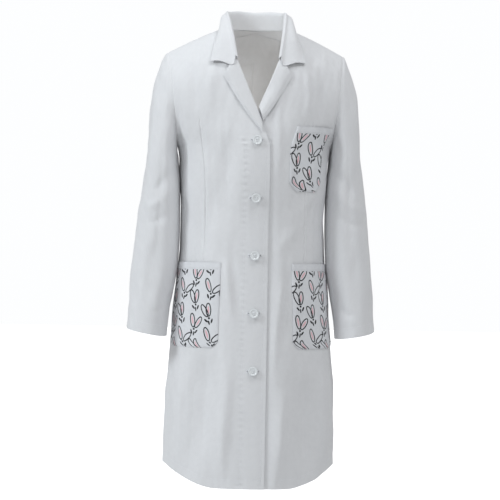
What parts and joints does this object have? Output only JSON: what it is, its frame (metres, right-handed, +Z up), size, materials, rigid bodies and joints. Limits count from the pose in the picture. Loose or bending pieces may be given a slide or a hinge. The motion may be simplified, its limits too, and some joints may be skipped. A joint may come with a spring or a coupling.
{
  "type": "lab coat",
  "caption": "Knee-length white lab coat with notched collar, long sleeves, button front and printed patch pockets.",
  "frame": {"origin": "middle of the neck opening, level with the neck seam, where a wearer's neck or a hanger carries the coat", "axes": "+Z up along the coat, -Y out of its front, +X towards the wearer's left sleeve"},
  "size_m": [0.5382, 0.2822, 1.0295],
  "materials": {
    "coat_cloth": "white cotton and polyester twill",
    "printed_cloth": "white cotton with a printed line pattern",
    "button_resin": "satin white polyester resin",
    "thread": "white sewing thread"
  },
  "bodies": {
    "coat_body": {"right_front": "coat_cloth", "left_front": "coat_cloth", "right_back": "coat_cloth", "left_back": "coat_cloth", "right_front_facing": "coat_cloth", "left_front_facing": "coat_cloth", "back_neck_facing": "coat_cloth", "right_front_hem": "coat_cloth", "left_front_hem": "coat_cloth", "right_back_hem": "coat_cloth", "left_back_hem": "coat_cloth", "under_collar": "coat_cloth", "upper_collar": "coat_cloth", "right_lapel": "coat_cloth", "left_lapel": "coat_cloth", "chest_pocket": "printed_cloth", "left_hip_pocket": "printed_cloth", "right_hip_pocket": "printed_cloth"},
    "right_sleeve": {"right_sleeve": "coat_cloth", "right_cuff_hem": "coat_cloth"},
    "left_sleeve": {"left_sleeve": "coat_cloth", "left_cuff_hem": "coat_cloth"},
    "button_1": {"button_1": "button_resin", "button_thread_1": "thread"},
    "button_2": {"button_2": "button_resin", "button_thread_2": "thread"},
    "button_3": {"button_3": "button_resin", "button_thread_3": "thread"},
    "button_4": {"button_4": "button_resin", "button_thread_4": "thread"},
    "button_5": {"button_5": "button_resin", "button_thread_5": "thread"}
  },
  "joints": [
    {"name": "right_sleeve_swing", "type": "hinge", "parent": "coat_body", "child": "right_sleeve", "pos_m": [-0.178, -0.0065, -0.16], "axis": [-0.9932, 0, -0.1168], "range_deg": [-20, 60]},
    {"name": "left_sleeve_swing", "type": "hinge", "parent": "coat_body", "child": "left_sleeve", "pos_m": [0.178, -0.0065, -0.16], "axis": [-0.9932, 0, 0.1168], "range_deg": [-20, 60]},
    {"name": "button_1_tilt", "type": "hinge", "parent": "coat_body", "child": "button_1", "pos_m": [0, -0.134, -0.252], "axis": [1, 0, 0], "range_deg": [-8, 8], "stiffness_Nm_per_rad": 0.002},
    {"name": "button_2_tilt", "type": "hinge", "parent": "coat_body", "child": "button_2", "pos_m": [0, -0.1285, -0.374], "axis": [1, 0, 0], "range_deg": [-8, 8], "stiffness_Nm_per_rad": 0.002},
    {"name": "button_3_tilt", "type": "hinge", "parent": "coat_body", "child": "button_3", "pos_m": [0, -0.1235, -0.496], "axis": [1, 0, 0], "range_deg": [-8, 8], "stiffness_Nm_per_rad": 0.002},
    {"name": "button_4_tilt", "type": "hinge", "parent": "coat_body", "child": "button_4", "pos_m": [0, -0.126, -0.618], "axis": [1, 0, 0], "range_deg": [-8, 8], "stiffness_Nm_per_rad": 0.002},
    {"name": "button_5_tilt", "type": "hinge", "parent": "coat_body", "child": "button_5", "pos_m": [0, -0.13, -0.74], "axis": [1, 0, 0], "range_deg": [-8, 8], "stiffness_Nm_per_rad": 0.002}
  ]
}
